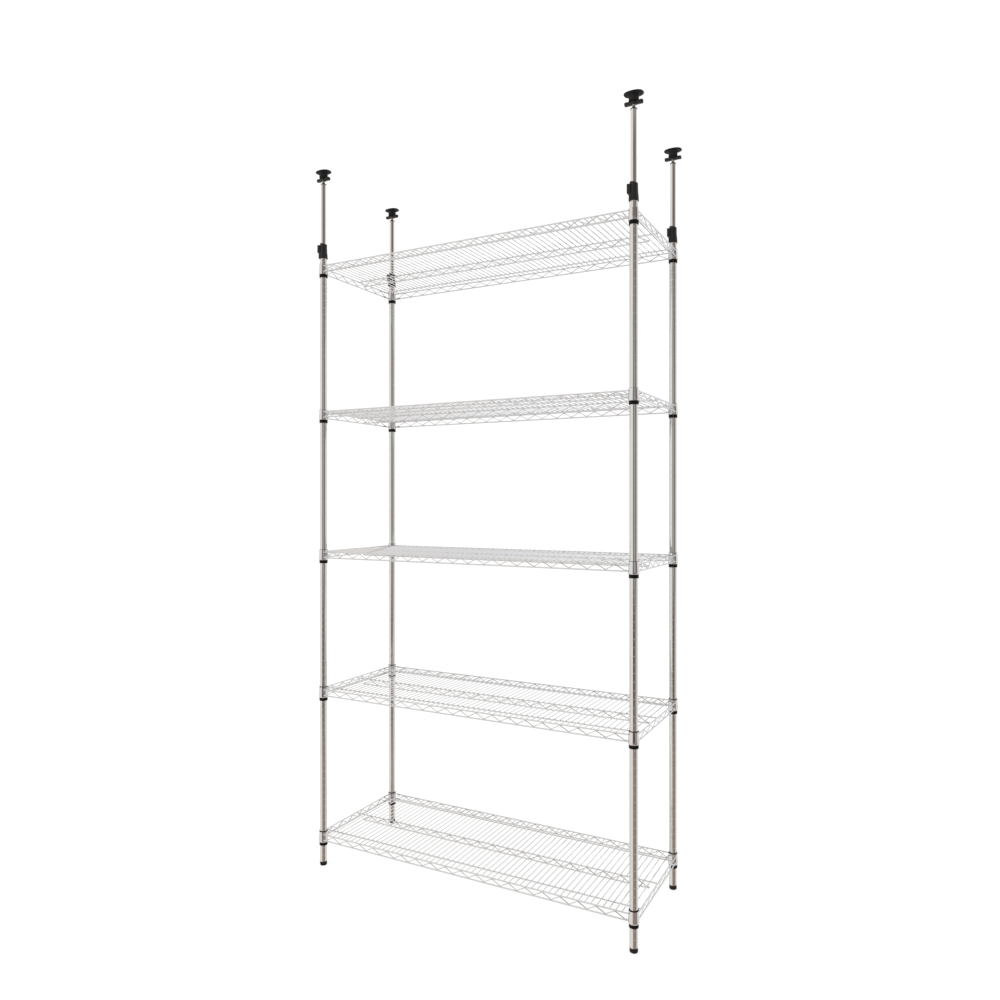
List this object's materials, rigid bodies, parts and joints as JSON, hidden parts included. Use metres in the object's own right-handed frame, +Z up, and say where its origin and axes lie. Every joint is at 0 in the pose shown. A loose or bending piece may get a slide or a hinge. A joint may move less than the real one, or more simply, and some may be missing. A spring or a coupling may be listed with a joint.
{
  "type": "wire shelving unit",
  "caption": "Floor-to-ceiling wire shelving unit: chrome posts carry wire shelves on wedged sleeves, and telescopic tubes with screw jacks brace it against the ceiling.",
  "frame": {"origin": "on the floor under the middle of the unit", "axes": "+X along the width to the right seen from the front, +Y from front to back, +Z up"},
  "size_m": [1.226, 0.463, 2.5083],
  "materials": {
    "chrome_plate": "bright chrome plate over drawn steel tube and wire",
    "zinc_plate": "zinc plated screw thread",
    "black_nylon": "moulded black nylon, finely grained",
    "black_rubber": "moulded black rubber, dull"
  },
  "bodies": {
    "frame": {"shelf_1": "chrome_plate", "shelf_2": "chrome_plate", "shelf_3": "chrome_plate", "shelf_4": "chrome_plate", "shelf_5": "chrome_plate", "post_fl": "chrome_plate", "clamp_body_fl": "black_nylon", "sleeve_fl_1": "black_nylon", "sleeve_fl_2": "black_nylon", "sleeve_fl_3": "black_nylon", "sleeve_fl_4": "black_nylon", "sleeve_fl_5": "black_nylon", "post_fr": "chrome_plate", "clamp_body_fr": "black_nylon", "sleeve_fr_1": "black_nylon", "sleeve_fr_2": "black_nylon", "sleeve_fr_3": "black_nylon", "sleeve_fr_4": "black_nylon", "sleeve_fr_5": "black_nylon", "post_bl": "chrome_plate", "clamp_body_bl": "black_nylon", "sleeve_bl_1": "black_nylon", "sleeve_bl_2": "black_nylon", "sleeve_bl_3": "black_nylon", "sleeve_bl_4": "black_nylon", "sleeve_bl_5": "black_nylon", "post_br": "chrome_plate", "clamp_body_br": "black_nylon", "sleeve_br_1": "black_nylon", "sleeve_br_2": "black_nylon", "sleeve_br_3": "black_nylon", "sleeve_br_4": "black_nylon", "sleeve_br_5": "black_nylon"},
    "foot_fl": {"levelling_foot_fl": "black_rubber"},
    "lever_fl": {"clamp_lever_fl": "black_nylon"},
    "tube_fl": {"tension_tube_fl": "chrome_plate"},
    "pad_fl": {"ceiling_pad_fl": "black_rubber"},
    "screw_fl": {"jack_screw_fl": "zinc_plate", "jack_handle_fl": "black_nylon"},
    "foot_fr": {"levelling_foot_fr": "black_rubber"},
    "lever_fr": {"clamp_lever_fr": "black_nylon"},
    "tube_fr": {"tension_tube_fr": "chrome_plate"},
    "pad_fr": {"ceiling_pad_fr": "black_rubber"},
    "screw_fr": {"jack_screw_fr": "zinc_plate", "jack_handle_fr": "black_nylon"},
    "foot_bl": {"levelling_foot_bl": "black_rubber"},
    "lever_bl": {"clamp_lever_bl": "black_nylon"},
    "tube_bl": {"tension_tube_bl": "chrome_plate"},
    "pad_bl": {"ceiling_pad_bl": "black_rubber"},
    "screw_bl": {"jack_screw_bl": "zinc_plate", "jack_handle_bl": "black_nylon"},
    "foot_br": {"levelling_foot_br": "black_rubber"},
    "lever_br": {"clamp_lever_br": "black_nylon"},
    "tube_br": {"tension_tube_br": "chrome_plate"},
    "pad_br": {"ceiling_pad_br": "black_rubber"},
    "screw_br": {"jack_screw_br": "zinc_plate", "jack_handle_br": "black_nylon"}
  },
  "joints": [
    {"name": "foot_level_fl", "type": "slide", "parent": "frame", "child": "foot_fl", "axis": [0, 0, -1], "range_m": [0, 0.015]},
    {"name": "lever_swing_fl", "type": "hinge", "parent": "frame", "child": "lever_fl", "pos_m": [-0.5975, -0.2035, 2.228], "axis": [0, 0, -1], "range_deg": [0, 100]},
    {"name": "tube_slide_fl", "type": "slide", "parent": "frame", "child": "tube_fl", "axis": [0, 0, 1], "range_m": [-0.2, 0.15]},
    {"name": "pad_lift_fl", "type": "slide", "parent": "tube_fl", "child": "pad_fl", "axis": [0, 0, 1], "range_m": [-0.006, 0.02]},
    {"name": "screw_turn_fl", "type": "hinge", "parent": "pad_fl", "child": "screw_fl", "pos_m": [-0.583, -0.21, 2.48], "axis": [0, 0, 1], "range_deg": [-1442, 4802]},
    {"name": "foot_level_fr", "type": "slide", "parent": "frame", "child": "foot_fr", "axis": [0, 0, -1], "range_m": [0, 0.015]},
    {"name": "lever_swing_fr", "type": "hinge", "parent": "frame", "child": "lever_fr", "pos_m": [0.5685, -0.2035, 2.228], "axis": [0, 0, -1], "range_deg": [0, 100]},
    {"name": "tube_slide_fr", "type": "slide", "parent": "frame", "child": "tube_fr", "axis": [0, 0, 1], "range_m": [-0.2, 0.15]},
    {"name": "pad_lift_fr", "type": "slide", "parent": "tube_fr", "child": "pad_fr", "axis": [0, 0, 1], "range_m": [-0.006, 0.02]},
    {"name": "screw_turn_fr", "type": "hinge", "parent": "pad_fr", "child": "screw_fr", "pos_m": [0.583, -0.21, 2.48], "axis": [0, 0, 1], "range_deg": [-1442, 4802]},
    {"name": "foot_level_bl", "type": "slide", "parent": "frame", "child": "foot_bl", "axis": [0, 0, -1], "range_m": [0, 0.015]},
    {"name": "lever_swing_bl", "type": "hinge", "parent": "frame", "child": "lever_bl", "pos_m": [-0.5975, 0.2165, 2.228], "axis": [0, 0, -1], "range_deg": [0, 100]},
    {"name": "tube_slide_bl", "type": "slide", "parent": "frame", "child": "tube_bl", "axis": [0, 0, 1], "range_m": [-0.2, 0.15]},
    {"name": "pad_lift_bl", "type": "slide", "parent": "tube_bl", "child": "pad_bl", "axis": [0, 0, 1], "range_m": [-0.006, 0.02]},
    {"name": "screw_turn_bl", "type": "hinge", "parent": "pad_bl", "child": "screw_bl", "pos_m": [-0.583, 0.21, 2.48], "axis": [0, 0, 1], "range_deg": [-1442, 4802]},
    {"name": "foot_level_br", "type": "slide", "parent": "frame", "child": "foot_br", "axis": [0, 0, -1], "range_m": [0, 0.015]},
    {"name": "lever_swing_br", "type": "hinge", "parent": "frame", "child": "lever_br", "pos_m": [0.5685, 0.2165, 2.228], "axis": [0, 0, -1], "range_deg": [0, 100]},
    {"name": "tube_slide_br", "type": "slide", "parent": "frame", "child": "tube_br", "axis": [0, 0, 1], "range_m": [-0.2, 0.15]},
    {"name": "pad_lift_br", "type": "slide", "parent": "tube_br", "child": "pad_br", "axis": [0, 0, 1], "range_m": [-0.006, 0.02]},
    {"name": "screw_turn_br", "type": "hinge", "parent": "pad_br", "child": "screw_br", "pos_m": [0.583, 0.21, 2.48], "axis": [0, 0, 1], "range_deg": [-1442, 4802]}
  ],
  "couplings": [
    {"joint": "screw_turn_fl", "follows": "pad_lift_fl", "rad_per_m": 4188.8},
    {"joint": "screw_turn_fr", "follows": "pad_lift_fr", "rad_per_m": 4188.8},
    {"joint": "screw_turn_bl", "follows": "pad_lift_bl", "rad_per_m": 4188.8},
    {"joint": "screw_turn_br", "follows": "pad_lift_br", "rad_per_m": 4188.8}
  ]
}
